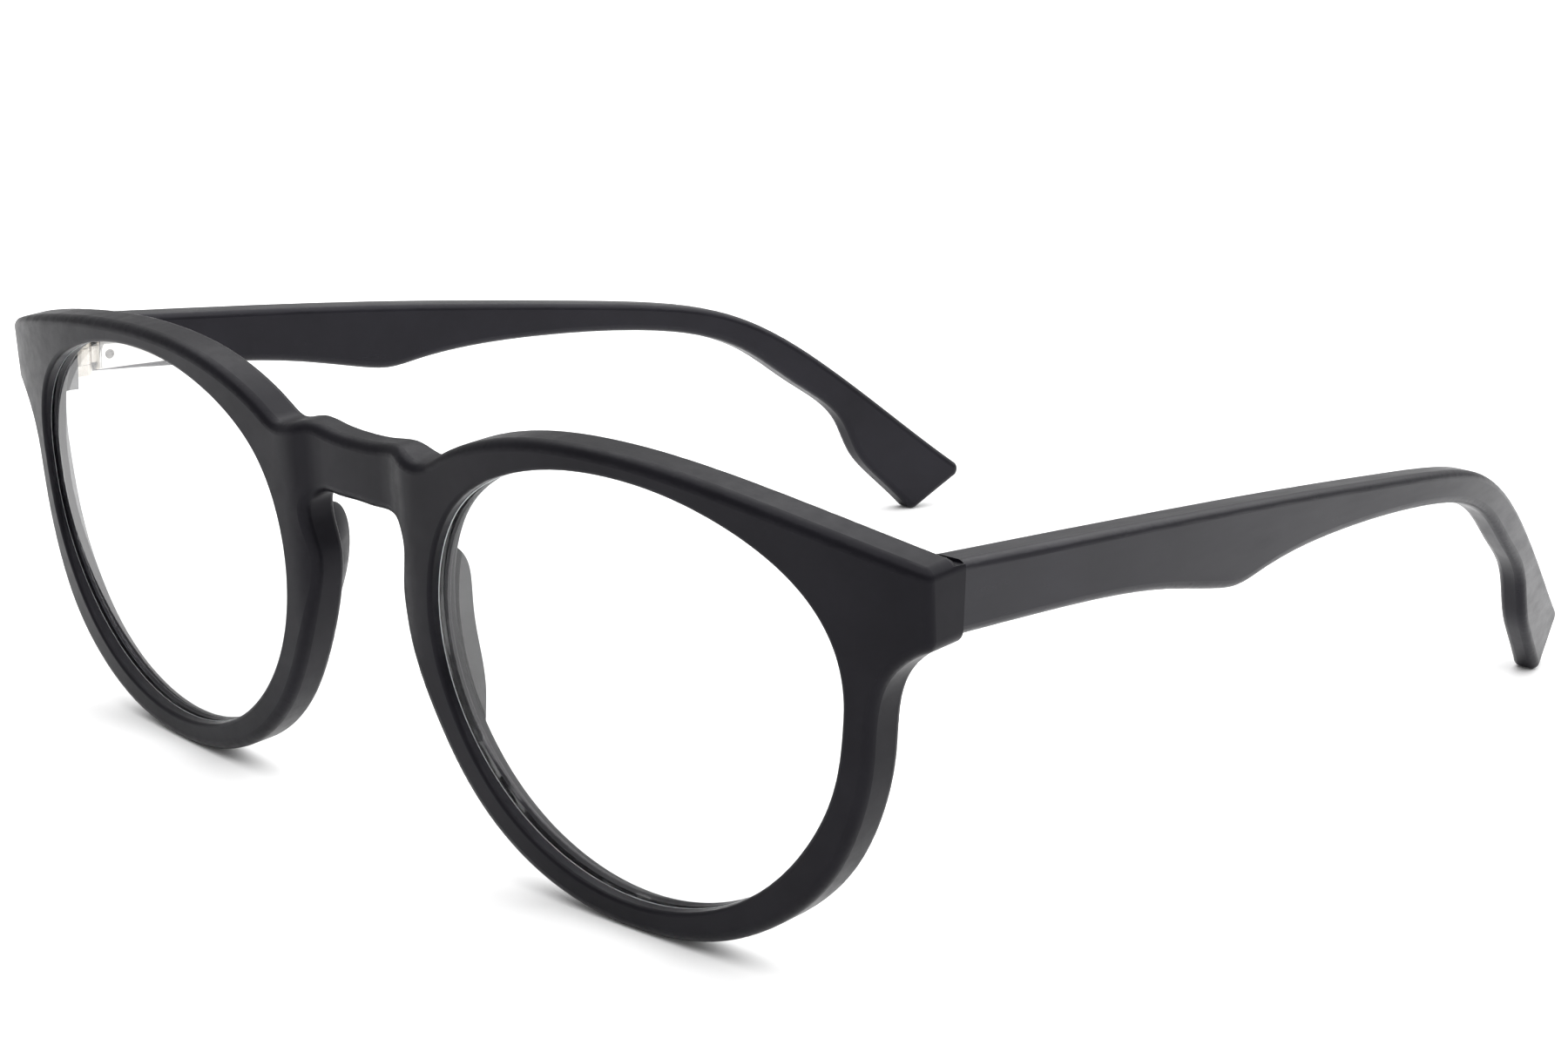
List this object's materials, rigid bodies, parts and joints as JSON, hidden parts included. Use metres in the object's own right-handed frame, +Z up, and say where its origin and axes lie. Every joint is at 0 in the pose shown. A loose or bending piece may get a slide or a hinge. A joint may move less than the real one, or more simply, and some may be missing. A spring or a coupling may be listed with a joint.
{
  "type": "eyeglasses",
  "caption": "Full-rim panto eyeglasses in black acetate with clear lenses, a keyhole bridge, built-in nose pads and sprung folding temples.",
  "frame": {"origin": "on the table under the middle of the glasses, which stand on both rims and both temple tips", "axes": "+X towards the wearer's left, +Y from the front to the temple tips, +Z up"},
  "size_m": [0.1416, 0.1531, 0.0478],
  "materials": {
    "black_acetate": "semi-gloss",
    "clear_lens": "clear, polished",
    "hinge_steel": "satin",
    "housing_steel": "polished",
    "core_steel": "drawn wire",
    "bush_brass": "turned"
  },
  "bodies": {
    "front": {"front_frame": "black_acetate", "lens_left": "clear_lens", "lens_right": "clear_lens", "nose_pad_left": "black_acetate", "nose_pad_right": "black_acetate", "hinge_leaf_left": "hinge_steel", "hinge_leaf_right": "hinge_steel", "hinge_screw_left": "hinge_steel", "hinge_screw_right": "hinge_steel"},
    "slider_left": {"hinge_slider_left": "hinge_steel", "guide_rod_left": "hinge_steel", "rod_nut_left": "bush_brass", "flex_spring_left": "hinge_steel"},
    "temple_left": {"temple_left": "black_acetate", "core_wire_left": "core_steel", "hinge_housing_left": "housing_steel", "stop_pin_left": "hinge_steel", "spring_bush_left": "bush_brass"},
    "slider_right": {"hinge_slider_right": "hinge_steel", "guide_rod_right": "hinge_steel", "rod_nut_right": "bush_brass", "flex_spring_right": "hinge_steel"},
    "temple_right": {"temple_right": "black_acetate", "core_wire_right": "core_steel", "hinge_housing_right": "housing_steel", "stop_pin_right": "hinge_steel", "spring_bush_right": "bush_brass"}
  },
  "joints": [
    {"name": "temple_fold_left", "type": "hinge", "parent": "front", "child": "slider_left", "pos_m": [0.0649, -0.06401, 0.0385], "axis": [0, 0, 1], "range_deg": [0, 84]},
    {"name": "temple_flex_left", "type": "slide", "parent": "slider_left", "child": "temple_left", "axis": [-0.0593, 0.9982, 0], "range_m": [0, 0.0012], "stiffness_N_per_m": 700, "springref_m": -0.001, "deforming": ["flex_spring_left"]},
    {"name": "temple_fold_right", "type": "hinge", "parent": "front", "child": "slider_right", "pos_m": [-0.0649, -0.06401, 0.0385], "axis": [0, 0, -1], "range_deg": [0, 72]},
    {"name": "temple_flex_right", "type": "slide", "parent": "slider_right", "child": "temple_right", "axis": [0.0593, 0.9982, 0], "range_m": [0, 0.0012], "stiffness_N_per_m": 700, "springref_m": -0.001, "deforming": ["flex_spring_right"]}
  ]
}
